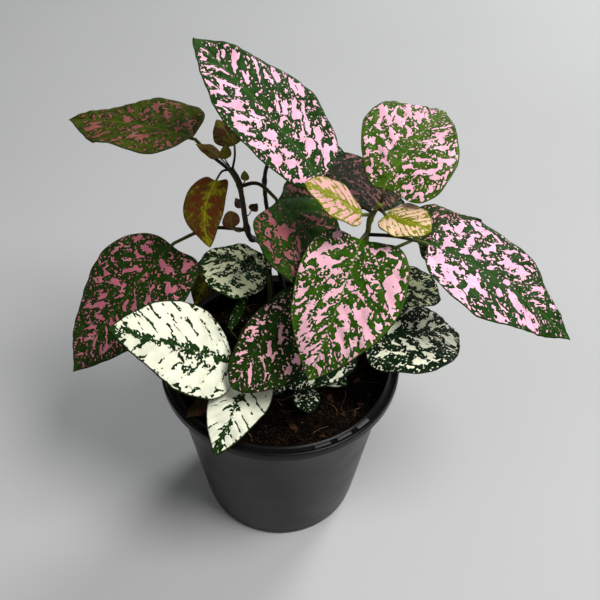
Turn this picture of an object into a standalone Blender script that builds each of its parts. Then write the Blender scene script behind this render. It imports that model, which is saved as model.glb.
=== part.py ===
"""Potted polka dot plant (Hypoestes) in a round nursery pot.

Origin: centre of the pot's underside.  +Z is up and -Y is the front.
Every leaf is one node: its stalk and blade are lofted as one closed body.
"""
import math

import bmesh
import bpy
from mathutils import Matrix, Vector

MM = 0.001                      # the numbers below are millimetres

# ---- driving dimensions -------------------------------------------------------------
POT_HEIGHT = 110.0
RIM_RADIUS = 65.0
COLLAR_WIDTH = 6.2              # flat top of the collar, wall included
COLLAR_DROP = 5.5               # height of the collar's skirt
BASE_RADIUS = 46.0
WALL = 1.7
EDGE = 0.6                      # small flats that break the pot's corners
POT_STEPS = 48                  # facets round the pot

DRAIN_COUNT = 8
DRAIN_RADIUS = 4.0
DRAIN_CIRCLE = 34.0             # radius of the ring of drain holes

SLOT_ANGLES = (-68.0, -56.5, -45.0)   # label slots in the collar, degrees from +X
SLOT_SPAN = 8.0                 # degrees
SLOT_RADIAL = 2.2

SOIL_EDGE = 100.0               # height of the soil at the wall
SOIL_CROWN = 102.5              # height of the soil in the middle
GAP = 0.3                       # clearance kept between neighbouring nodes

LEAF_THICKNESS = 0.7
LARGE_LEAF = 20.0               # leaves wider than this get more rings and a thicker stalk
STALK_RADIUS = {True: 0.9, False: 0.6}      # by whether the leaf is large
STALK_RINGS = 5                 # rings along a leaf stalk
RIB = 0.5                       # extra depth of the midrib under the base of the blade
SWEEP = 0.35                    # how far the blade's rings run forward to the margin
SWEEP_POWER = 1.2
LOBE_PLACE = 0.07               # share of the length where a lobe reaches back furthest
LOBE_POWER = 1.5
LEAST_HALF = 0.35               # half width kept at the ends of a blade

# ---- colours of each material slot: base colour, roughness ----------------------------
SLOTS = {
    "pot_plastic": ((0.018, 0.018, 0.019), 0.42),
    "soil": ((0.030, 0.020, 0.013), 0.95),
    "stem": ((0.045, 0.028, 0.018), 0.55),
    "leaf_pink": ((0.56, 0.30, 0.33), 0.45),
    "leaf_rose": ((0.22, 0.10, 0.09), 0.45),
    "leaf_white": ((0.55, 0.57, 0.42), 0.45),
    "leaf_young": ((0.55, 0.47, 0.24), 0.45),
    "leaf_red": ((0.16, 0.09, 0.03), 0.45),
}

# ---- stems: points on the axis and the radius at the foot and at the top ---------------
STEMS = {
    "stem_left": dict(
        path=[(-6, 40, 103), (-9, 42, 145), (-12, 34, 163), (-15, 20, 176), (-17, 15, 187),
              (-20, 18, 211), (-24, 20, 219)],
        radii=(2.0, 1.2)),
    "stem_right": dict(
        path=[(24, 12, 103), (35, 24, 150), (42, 17, 180), (43, 14, 195), (47, 12, 207)],
        radii=(2.0, 1.2)),
    "stem_back": dict(
        path=[(4, 38, 103), (-7, 52, 155), (-10, 50, 190), (-6, 52, 206)],
        radii=(1.5, 1.0)),
    "stem_white_left": dict(
        path=[(-7, 0, 103.2), (-8, 0, 112), (-10, -2, 121)],
        radii=(1.6, 1.2)),
    "stem_white_right": dict(
        path=[(28, 0, 103), (32, -1, 114), (35, -2, 124)],
        radii=(1.6, 1.2)),
}

# ---- leaves ---------------------------------------------------------------------------
# base, tip: ends of the midrib.  width: the full width if both sides were alike; sides
# scales the left and right half as seen from the base with the upper face up.
# arch: rise of the midrib's middle.  bow: its sideways bend, to the right.
# roll: turn about the midrib, right side down.  twist: change of roll from base to tip.
# lobe: how far the blade reaches back past the base.  blunt and taper: how full the
# outline is at the base and how sharp at the tip.  These three are pairs, left and right,
# where the sides differ.
# stalk: points from the stem's axis to the base, the base itself left out.
LEAVES = {
    "leaf_rose_far_left": dict(
        slot="leaf_rose", base=(-43, 36, 225), tip=(-110, 64, 215), width=46,
        arch=3, lobe=1.5, blunt=(0.6, 0.45), taper=(1.0, 1.1), sides=(0.98, 1.14),
        stalk=[(-20, 18, 210), (-25, 25, 214), (-34, 30, 219)]),
    "leaf_pink_top": dict(
        slot="leaf_pink", base=(19, 21, 213), tip=(-39, 37, 275), width=48,
        arch=3, roll=-10, lobe=4, blunt=(0.75, 0.45), taper=(0.8, 1.0), sides=(1.05, 1.3),
        stalk=[(44, 13, 200), (35, 18, 203)]),
    "leaf_pink_round": dict(
        slot="leaf_pink", base=(48, 17, 212), tip=(82, 68, 222), width=46,
        arch=6, lobe=4, blunt=(0.8, 0.38), taper=(0.5, 1.0), sides=(1.35, 1.15),
        stalk=[(47, 12, 207), (48, 14, 210)]),
    "leaf_pink_front": dict(
        slot="leaf_pink", base=(38, -1, 195), tip=(15, -56, 157), width=54,
        arch=5, bow=-1.5, lobe=6, blunt=0.42, taper=0.85, sides=(1.08, 0.9),
        stalk=[(42, 17, 182), (41, 9, 190)]),
    "leaf_pink_right": dict(
        slot="leaf_pink", base=(71, 3, 190), tip=(141, -25, 155), width=50,
        arch=6, lobe=2, blunt=(0.45, 0.6), taper=(1.0, 1.1), sides=(1.28, 1.15),
        stalk=[(42, 16, 184), (56, 9, 189)]),
    "leaf_pink_right_back": dict(
        slot="leaf_rose", base=(68, 24, 175), tip=(104, 40, 174), width=42,
        arch=3, lobe=5, blunt=0.42, taper=1.0,
        stalk=[(39, 18, 165), (54, 20, 170)]),
    "leaf_rose_centre": dict(
        slot="leaf_rose", base=(-2, 21, 200), tip=(34, 4, 148), width=54,
        arch=5, lobe=6, blunt=0.42, taper=1.0, sides=(0.85, 1.2),
        stalk=[(-20, 18, 210), (-11, 19, 211)]),
    "leaf_rose_low": dict(
        slot="leaf_rose", base=(10, 1, 158), tip=(-22, -41, 131), width=42,
        arch=4, lobe=3, blunt=0.5, taper=0.6, sides=(1.35, 0.58),
        stalk=[(33, 17, 147), (22, 10, 154)]),
    "leaf_rose_left": dict(
        slot="leaf_rose", base=(-57, 22, 169), tip=(-110, -15, 110), width=50,
        arch=4, roll=-14, lobe=(8, 0), blunt=(0.42, 0.5), taper=1.0, sides=(1.15, 1.12),
        stalk=[(-17, 15, 186), (-36, 15, 186)]),
    "leaf_white_left": dict(
        slot="leaf_white", base=(-24, -21, 128), tip=(-78, -39, 170), width=46,
        arch=2, roll=-25, lobe=2, blunt=(0.42, 0.65), taper=0.95, sides=(1.05, 1.08),
        stalk=[(-10, -2, 120), (-17, -10, 123)]),
    "leaf_white_rim": dict(
        slot="leaf_white", base=(-13, -18, 119), tip=(-29, -69, 114), width=32,
        arch=3, lobe=2, blunt=0.5, taper=0.9,
        stalk=[(-8, -1, 113), (-10, -9, 118)]),
    "leaf_white_shaded": dict(
        slot="leaf_white", base=(-7, 22, 150), tip=(-42, 30, 154), width=36,
        arch=4, lobe=2, blunt=0.5, taper=0.6, sides=(1.5, 0.75),
        stalk=[(-10, -2, 121), (-6, 10, 142)]),
    "leaf_white_sliver": dict(
        slot="leaf_white", base=(-26, -5, 135), tip=(-15, 17, 148), width=6,
        arch=1, taper=1.0,
        stalk=[(-10, -1, 119), (-20, -6, 127)]),
    "leaf_olive_back": dict(
        slot="leaf_red", base=(-36, 46, 143), tip=(-47, 18, 129), width=18,
        arch=1, taper=0.8,
        stalk=[(-10, 34, 144), (-24, 44, 147)]),
    "leaf_white_right_back": dict(
        slot="leaf_white", base=(57, 33, 130), tip=(87, 23, 133), width=36,
        arch=4, lobe=2, taper=0.7,
        stalk=[(34, -2, 121), (46, 20, 126)]),
    "leaf_white_right": dict(
        slot="leaf_white", base=(43, -19, 140), tip=(92, -8, 139), width=40,
        arch=6, lobe=3, blunt=0.5, taper=0.6, sides=(0.95, 1.35),
        stalk=[(35, -2, 124), (38, -12, 134)]),
    "leaf_white_under": dict(
        slot="leaf_white", base=(40, -8, 120), tip=(3, -26, 115), width=24,
        arch=2, taper=0.7,
        stalk=[(34, -2, 118), (38, -6, 120)]),
    "leaf_white_low": dict(
        slot="leaf_white", base=(22, -14, 113), tip=(36, -22, 113), width=16,
        arch=1, taper=0.9,
        stalk=[(24, -6, 104.5), (21, -11, 110)]),
    "leaf_seedling": dict(
        slot="leaf_white", base=(13, -18, 106), tip=(16, -37, 108), width=15,
        arch=1, taper=0.6,
        stalk=[(12, -8, 104), (12, -13, 105.5)]),
    "leaf_seedling_small": dict(
        slot="leaf_white", base=(2, -17, 106), tip=(-4, -24, 105), width=8,
        arch=0.5, taper=0.8,
        stalk=[(6, -9, 104), (4, -13, 105.5)]),
    "leaf_young_left": dict(
        slot="leaf_young", base=(38, 5, 205), tip=(11, 4, 223), width=26,
        arch=1, roll=-6, lobe=1, blunt=(0.5, 0.6), taper=0.7,
        stalk=[(45, 13, 201), (42, 8, 203)]),
    "leaf_young_right": dict(
        slot="leaf_young", base=(49, 5, 205), tip=(69, -7, 206), width=25,
        arch=1, lobe=2, taper=0.7,
        stalk=[(46, 13, 203), (48, 9, 204)]),
    "leaf_red_hanging": dict(
        slot="leaf_red", base=(-31, 18, 213), tip=(-34, 2, 185), width=20,
        arch=2, bow=3.5, lobe=3, taper=(0.85, 0.8), sides=(0.9, 1.1),
        stalk=[(-24, 20, 218), (-28, 20, 217)]),
    "leaf_red_crown": dict(
        slot="leaf_red", base=(-22, 24, 229), tip=(-31, 34, 236), width=16,
        arch=1,
        stalk=[(-23, 20, 219), (-22, 22, 224)]),
    "leaf_red_small": dict(
        slot="leaf_red", base=(-29, 21, 224), tip=(-40, 24, 229), width=9,
        arch=1,
        stalk=[(-24, 20, 219), (-27, 22, 221)]),
    "leaf_red_tiny": dict(
        slot="leaf_red", base=(-26, 17, 226), tip=(-25, 14, 236), width=6,
        stalk=[(-24, 20, 219), (-25, 18, 223)]),
    "leaf_bud": dict(
        slot="leaf_red", base=(-17, 16, 215), tip=(-17, 14, 222), width=4,
        stalk=[(-20, 18, 211), (-18, 16, 213)]),
    "leaf_red_round": dict(
        slot="leaf_red", base=(-24, 11, 190), tip=(-25, 13, 199), width=9,
        arch=1, taper=0.6,
        stalk=[(-17, 15, 186), (-21, 12, 187)]),
    "leaf_red_pair_left": dict(
        slot="leaf_red", base=(-20, 22, 194), tip=(-23, 26, 197), width=5,
        stalk=[(-18, 16, 193), (-19, 20, 193)]),
    "leaf_red_pair_right": dict(
        slot="leaf_red", base=(-15, 20, 194), tip=(-12, 23, 196), width=6,
        stalk=[(-18, 16, 193), (-16, 18, 193)]),
    "leaf_dark_back": dict(
        slot="leaf_rose", base=(18, 68, 186), tip=(67, 72, 160), width=48,
        arch=4, lobe=3, sides=(1.0, 1.15),
        stalk=[(-6, 52, 205), (6, 62, 203)]),
    "leaf_grey_back": dict(
        slot="leaf_white", base=(8, 66, 206), tip=(32, 53, 204), width=18,
        arch=1,
        stalk=[(-9, 51, 197), (-4, 60, 203)]),
    "leaf_red_soil": dict(
        slot="leaf_red", base=(-30, -30, 111), tip=(-46, -45, 112), width=13,
        arch=1,
        stalk=[(-22, -20, 104), (-25, -25, 108)]),
}


def collection(name):
    made = bpy.data.collections.new(name)
    bpy.context.scene.collection.children.link(made)
    return made


def material(slot):
    known = bpy.data.materials.get(slot)
    if known:
        return known
    colour, roughness = SLOTS[slot]
    made = bpy.data.materials.new(slot)
    made.use_nodes = True
    shader = made.node_tree.nodes["Principled BSDF"]
    shader.inputs["Base Color"].default_value = (*colour, 1.0)
    shader.inputs["Roughness"].default_value = roughness
    shader.inputs["Metallic"].default_value = 0.0
    return made


def mesh_object(name, vertices, faces, slot, home):
    mesh = bpy.data.meshes.new(name)
    mesh.from_pydata([Vector(v) * MM for v in vertices], [], faces)
    mesh.update()
    made = bpy.data.objects.new(name, mesh)
    home.objects.link(made)
    mesh.materials.append(material(slot))
    return made


def shade_round(made):
    made.data.shade_smooth()
    made.data.set_sharp_from_angle(angle=math.radians(40))


def turned(name, profile, slot, home, steps=POT_STEPS):
    """Turn a profile of (radius, height) about Z; it runs up the inside and down the outside."""
    vertices = [(radius, 0.0, height) for radius, height in profile]
    mesh = bpy.data.meshes.new(name)
    mesh.from_pydata([Vector(v) * MM for v in vertices],
                     [(i, i + 1) for i in range(len(vertices) - 1)], [])
    made = bpy.data.objects.new(name, mesh)
    home.objects.link(made)
    mesh.materials.append(material(slot))
    screw = made.modifiers.new("turn", "SCREW")
    screw.steps = steps
    screw.render_steps = steps
    screw.use_merge_vertices = True
    screw.merge_threshold = 1e-6
    return made


def cut(target, cutter):
    boolean = target.modifiers.new("cut " + cutter.name, "BOOLEAN")
    boolean.operation = "DIFFERENCE"
    boolean.solver = "EXACT"
    boolean.object = cutter


def wall_radius(height):
    """Outer radius of the tapered wall."""
    top = RIM_RADIUS - COLLAR_WIDTH + WALL
    return BASE_RADIUS + (top - BASE_RADIUS) * height / POT_HEIGHT


def make_pot(home, cutters):
    inner_top = wall_radius(POT_HEIGHT) - WALL
    skirt_inner = RIM_RADIUS - WALL
    flange_under = POT_HEIGHT - WALL
    profile = [
        (0.0, WALL),
        (wall_radius(WALL) - WALL, WALL),
        (inner_top, POT_HEIGHT - EDGE),
        (inner_top + EDGE, POT_HEIGHT),
        (RIM_RADIUS - EDGE, POT_HEIGHT),
        (RIM_RADIUS, POT_HEIGHT - EDGE),
        (RIM_RADIUS, POT_HEIGHT - COLLAR_DROP),
        (skirt_inner, POT_HEIGHT - COLLAR_DROP),
        (skirt_inner, flange_under),
        (wall_radius(flange_under), flange_under),
        (wall_radius(EDGE), EDGE),
        (BASE_RADIUS - EDGE, 0.0),
        (0.0, 0.0),
    ]
    pot = turned("pot", profile, "pot_plastic", home)

    drains = bmesh.new()
    for number in range(DRAIN_COUNT):
        angle = 2.0 * math.pi * (number + 0.5) / DRAIN_COUNT
        centre = Vector((math.cos(angle), math.sin(angle), 0.0)) * DRAIN_CIRCLE * MM
        bmesh.ops.create_cone(
            drains, cap_ends=True, segments=16, depth=6 * WALL * MM,
            radius1=DRAIN_RADIUS * MM, radius2=DRAIN_RADIUS * MM,
            matrix=Matrix.Translation(centre))
    cut(pot, cutter_object("drain_holes", drains, cutters))

    middle = (skirt_inner + wall_radius(flange_under)) / 2.0
    slots = bmesh.new()
    for degrees in SLOT_ANGLES:
        turn = Matrix.Rotation(math.radians(degrees), 4, "Z")
        size = Matrix.Diagonal((SLOT_RADIAL * MM, middle * math.radians(SLOT_SPAN) * MM,
                                2 * (WALL + 1.0) * MM, 1.0))
        place = Matrix.Translation((middle * MM, 0.0, POT_HEIGHT * MM))
        bmesh.ops.create_cube(slots, size=1.0, matrix=turn @ place @ size)
    cut(pot, cutter_object("label_slots", slots, cutters))
    shade_round(pot)
    return pot


def cutter_object(name, built, cutters):
    mesh = bpy.data.meshes.new(name)
    built.to_mesh(mesh)
    built.free()
    made = bpy.data.objects.new(name, mesh)
    made.display_type = "WIRE"
    made.hide_render = True
    cutters.objects.link(made)
    return made


def make_soil(home):
    floor = WALL + GAP
    clear = WALL + 2 * GAP      # the facets of pot and soil never cross
    rings = 5
    profile = []
    for number in range(rings + 1):
        share = number / rings
        radius = (wall_radius(SOIL_EDGE) - clear) * share
        profile.append((radius, SOIL_CROWN - (SOIL_CROWN - SOIL_EDGE) * share ** 2))
    profile.append((wall_radius(floor) - clear, floor))
    profile.append((0.0, floor))
    soil = turned("soil", profile, "soil", home)
    shade_round(soil)
    return soil


def smooth_path(points, count):
    """Catmull-Rom through the points; count places, the first and last point included."""
    points = [Vector(p) for p in points]
    padded = [2 * points[0] - points[1], *points, 2 * points[-1] - points[-2]]
    spans = len(points) - 1
    places = []
    for number in range(count):
        whole = min(int(number * spans / (count - 1)), spans - 1)
        t = number * spans / (count - 1) - whole
        a, b, c, d = padded[whole:whole + 4]
        places.append(0.5 * ((2 * b) + (c - a) * t + (2 * a - 5 * b + 4 * c - d) * t ** 2
                             + (3 * b - a - 3 * c + d) * t ** 3))
    return places


def make_stem(name, path, radii, home):
    places = smooth_path(path, 4 * (len(path) - 1) + 1)
    curve = bpy.data.curves.new(name, "CURVE")
    curve.dimensions = "3D"
    curve.bevel_depth = radii[0] * MM
    curve.bevel_resolution = 2
    curve.use_fill_caps = True
    spline = curve.splines.new("POLY")
    spline.points.add(len(places) - 1)
    for number, place in enumerate(places):
        spline.points[number].co = (*(place * MM), 1.0)
        share = number / (len(places) - 1)
        spline.points[number].radius = 1.0 + (radii[1] / radii[0] - 1.0) * share
    curve.materials.append(material("stem"))
    made = bpy.data.objects.new(name, curve)
    home.objects.link(made)
    return made


def half_width(share, blunt, taper):
    """Outline of one side of a blade, 0 at the base and tip and 1 at its widest."""
    peak = blunt / (blunt + taper)
    highest = peak ** blunt * (1.0 - peak) ** taper
    share = min(max(share, 0.0), 1.0)
    return share ** blunt * (1.0 - share) ** taper / highest


def both_sides(value):
    return value if isinstance(value, tuple) else (value, value)


class Blade:
    """The middle surface of one leaf blade."""

    def __init__(self, base, tip, width, arch=0.0, bow=0.0, roll=0.0, twist=0.0, lobe=0.0,
                 blunt=0.5, taper=1.0, sides=(1.0, 1.0)):
        self.base = Vector(base)
        chord = Vector(tip) - self.base
        self.length = chord.length
        self.along = chord.normalized()
        self.up = (Vector((0, 0, 1)) - self.along * self.along.z).normalized()
        self.right = self.along.cross(self.up)
        self.width, self.arch, self.bow = width, arch, bow
        self.roll, self.twist, self.lobe = roll, twist, both_sides(lobe)
        self.blunt, self.taper, self.sides = both_sides(blunt), both_sides(taper), sides

    def frame(self, share):
        """Side and normal at a share of the length."""
        turn = math.radians(self.roll + self.twist * (share - 0.5))
        side = self.right * math.cos(turn) - self.up * math.sin(turn)
        normal = self.up * math.cos(turn) + self.right * math.sin(turn)
        return side, normal

    def point(self, row, across, least=0.0):
        """row runs 0 to 1 along the midrib and across -1 to 1 from left to right."""
        sweep = SWEEP * row * (1.0 - row)
        reach = abs(across)
        edge = row + sweep
        which = 1 if across > 0 else 0
        half = self.width / 2 * self.sides[which]
        half *= half_width(edge, self.blunt[which], self.taper[which])
        out = across * max(half, least)
        early = edge / LOBE_PLACE * math.exp(1.0 - edge / LOBE_PLACE)
        share = row + sweep * reach ** SWEEP_POWER
        share -= self.lobe[which] / self.length * early * reach ** LOBE_POWER
        side, normal = self.frame(share)
        rise = 4.0 * share * (1.0 - share)
        place = self.base + self.along * self.length * share
        return place + (normal * self.arch + side * self.bow) * rise + side * out


def clear_of_stems(path, stalk_radius):
    """The part of a stalk's path that keeps the clearance from every stem."""
    last_near = -1
    for stem in STEMS.values():
        axis = smooth_path(stem["path"], 60)
        foot, top = stem["radii"]
        for number, place in enumerate(path):
            for step, spot in enumerate(axis):
                radius = foot + (top - foot) * step / (len(axis) - 1)
                if (place - spot).length < radius + stalk_radius + GAP:
                    last_near = max(last_near, number)
    return path[last_near + 1:]


def blade_normal(blade, row, across):
    ahead, behind = min(row + 0.02, 1.0), max(row - 0.02, 0.0)
    right, left = min(across + 0.1, 1.0), max(across - 0.1, -1.0)
    along = blade.point(ahead, across) - blade.point(behind, across)
    sideways = blade.point(row, right, 1.0) - blade.point(row, left, 1.0)
    return sideways.cross(along).normalized()


def make_leaf(name, home, slot, stalk, base, tip, width, **shape):
    blade = Blade(base, tip, width, **shape)
    large = width > LARGE_LEAF
    rows, columns = (8, 2) if large else (5, 1)
    stalk_radius = STALK_RADIUS[large]
    span = 2 * columns + 1
    path = clear_of_stems(smooth_path([*stalk, base], 40), stalk_radius)
    side_end = blade.frame(0.0)[0]
    vertices = []
    for ring in range(STALK_RINGS):
        spot = ring * (len(path) - 1) // (STALK_RINGS - 1)
        ahead, behind = path[min(spot + 1, len(path) - 1)], path[max(spot - 1, 0)]
        forward = (ahead - behind).normalized()
        side = (side_end - forward * side_end.dot(forward)).normalized()
        over = side.cross(forward)
        for half in (1, -1):
            for number in range(span):
                angle = math.pi * (1.0 - (number + 0.5) / span)
                reach = math.cos(angle) * half
                vertices.append(path[spot] + (side * reach + over * half * math.sin(angle))
                                * stalk_radius)
    for ring in range(1, rows + 1):
        row = ring / rows
        for half in (1, -1):
            for number in range(span):
                across = (number - columns) / columns * half
                place = blade.point(row, across, LEAST_HALF)
                normal = blade_normal(blade, min(row, 0.97), across)
                rib = RIB * (1.0 - row) if across == 0 and half < 0 else 0.0
                vertices.append(place + normal * half * (LEAF_THICKNESS / 2 + rib))

    count = 2 * span
    rings = STALK_RINGS + rows
    faces = [tuple(reversed(range(count))), tuple(range((rings - 1) * count, rings * count))]
    for ring in range(rings - 1):
        for number in range(count):
            a = ring * count + number
            b = ring * count + (number + 1) % count
            faces.append((a, b, b + count, a + count))
    leaf = mesh_object(name, vertices, faces, slot, home)
    shade_round(leaf)
    return leaf


def build():
    for old in list(bpy.data.objects):
        bpy.data.objects.remove(old, do_unlink=True)
    home = collection("potted_polka_dot_plant")
    cutters = collection("cutters")
    make_pot(home, cutters)
    make_soil(home)
    for name, stem in STEMS.items():
        make_stem(name, stem["path"], stem["radii"], home)
    for name, leaf in LEAVES.items():
        make_leaf(name, home, **leaf)


build()
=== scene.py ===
"""Looks of the potted polka dot plant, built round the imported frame.

The layout of stems and leaves repeats the part's own, in millimetres.  Each leaf is lofted
again at a finer pitch with its veins, quilting and wavy margin.  Its splashes are a shader
pattern laid out along the side veins.
"""

import random
from math import cos, hypot, pi, radians, sin, sqrt

import bmesh
import bpy
import numpy as np
from mathutils import Matrix, Vector, noise


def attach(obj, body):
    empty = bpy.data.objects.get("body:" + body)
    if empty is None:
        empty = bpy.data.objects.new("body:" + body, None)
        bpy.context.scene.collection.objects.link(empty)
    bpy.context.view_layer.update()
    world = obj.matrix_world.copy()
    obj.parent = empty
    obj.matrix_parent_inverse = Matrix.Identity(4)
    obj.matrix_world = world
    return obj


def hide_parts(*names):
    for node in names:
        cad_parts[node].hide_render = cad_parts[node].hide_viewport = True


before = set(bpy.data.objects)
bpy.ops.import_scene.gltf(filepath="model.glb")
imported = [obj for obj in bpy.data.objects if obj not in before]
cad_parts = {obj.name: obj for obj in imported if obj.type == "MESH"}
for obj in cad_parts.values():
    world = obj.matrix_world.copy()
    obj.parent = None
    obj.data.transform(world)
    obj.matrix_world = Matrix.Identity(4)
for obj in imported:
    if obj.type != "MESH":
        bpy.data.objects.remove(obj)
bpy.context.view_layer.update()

MM = 0.001  # lengths below are in millimetres
FULL_TURN = 2.0 * pi

# ---- pot and soil
POT_HEIGHT = 110.0
RIM_RADIUS = 65.0
BASE_RADIUS = 46.0
WALL = 1.7
COLLAR_WIDTH = 6.2
COLLAR_DROP = 5.5  # height of the collar's skirt
EDGE = 0.5  # how far an edge of the collar is broken
CHAMFER = 0.4
RIDGE = 1.4  # width of the two raised rings on the collar
DISH = 0.45  # how far the collar sinks between them
LIP = 0.9  # height of the slope inside the rim
WALL_MIDDLE = 60.0  # an extra ring on the wall
FOOT_TOP = (8.0, 7.2)  # where the wall steps in above the foot
FOOT_INSET = 0.35
FOOT_RISE = 0.9  # how far the underside is raised inside the foot
FOOT_RADII = (1.2, 4.0, 4.8)  # the foot's profile, inward from the base radius
CORNER = 0.45  # rounding of the pot's corners
POT_SEGMENTS = 180
SHARP_ANGLE = 35  # degrees
DRAIN_COUNT = 8
DRAIN_RADIUS = 4.0
DRAIN_CIRCLE = 34.0  # radius of the ring of drain holes
DRAIN_SEGMENTS = 32
SLOT_ANGLES = (-68.0, -56.5, -45.0)  # label slots in the collar, degrees from +X
SLOT_SPAN = 8.0  # degrees
SLOT_RADIAL = 2.2
SLOT_DEPTH = 2 * (WALL + 1.0)
SOIL_EDGE = 99.3  # height of the soil at the wall
SOIL_CROWN = 101.6  # and in the middle
SOIL_SEGMENTS, SOIL_RINGS = 260, 74
SOIL_GAP = 0.35  # between the soil and the wall
SOIL_FOOT = (0.6, 0.4)  # gap at the soil's foot, sideways and up
SOIL_REACH = 0.985  # share of the pot's radius that crumbs lie on
SOIL_SEED = 20  # of every random draw
CRUMB_COUNT, BARK_COUNT, FLECK_COUNT, FIBRE_COUNT = 1100, 46, 26, 46
LUMP_MARGIN = 70.0  # larger lumps lie further from the wall
LUMP_TILT = 0.4  # radians
FIBRE_REACH = 0.93
FIBRE_GAP = 0.5  # between a root and the wall
FIBRE_STEP = 1.1
FIBRE_SIDES = 5

# ---- stems and leaves
STEM_RING = 0.45  # rise of the swollen ring at a leaf joint
RING_WIDTH = 1.8
STEM_PITCH = 16  # rings between two points of a stem, and sides of a ring
STEM_LUMPS = 0.16  # height of the bark's unevenness
STEM_END = 0.55  # share of the radius left at the very end
FRESH_STEM = "stem_right"  # its top is still green
LARGE_LEAF = 20.0  # leaves wider than this are lofted finest
SMALL_LEAF = 10.0  # and those narrower than this coarsest
FULL_WIDTH = 40.0  # leaves this wide have the full relief
LEAF_HALF = 0.17  # half the thickness of a blade
LEAST_HALF = 0.2  # half width kept at the ends of a blade
SWEEP = 0.35  # how far the blade's rows run forward to the margin
SWEEP_POWER = 1.2
LOBE_PLACE = 0.07  # share of the length where a lobe reaches back furthest
LOBE_POWER = 1.5
VEIN_SPACING = 0.115  # side veins, as a share of the blade's length
VEIN_LEAN, VEIN_BEND, VEIN_FAN = 0.50, 0.3, 0.9  # how the side veins run outward
SEED_STEP, SEED_START = 7.3, 1.7

# ---- stems: points on the axis and the radius at the foot and at the top
STEMS = {
    "stem_left": dict(
        path=[(-6, 40, 103), (-9, 42, 145), (-12, 34, 163), (-15, 20, 176), (-17, 15, 187),
              (-20, 18, 211), (-24, 20, 219)],
        radii=(2.0, 1.2)),
    "stem_right": dict(
        path=[(24, 12, 103), (35, 24, 150), (42, 17, 180), (43, 14, 195), (47, 12, 207)],
        radii=(2.0, 1.2)),
    "stem_back": dict(
        path=[(4, 38, 103), (-7, 52, 155), (-10, 50, 190), (-6, 52, 206)],
        radii=(1.5, 1.0)),
    "stem_white_left": dict(
        path=[(-7, 0, 103.2), (-8, 0, 112), (-10, -2, 121)],
        radii=(1.6, 1.2)),
    "stem_white_right": dict(
        path=[(28, 0, 103), (32, -1, 114), (35, -2, 124)],
        radii=(1.6, 1.2)),
}

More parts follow.
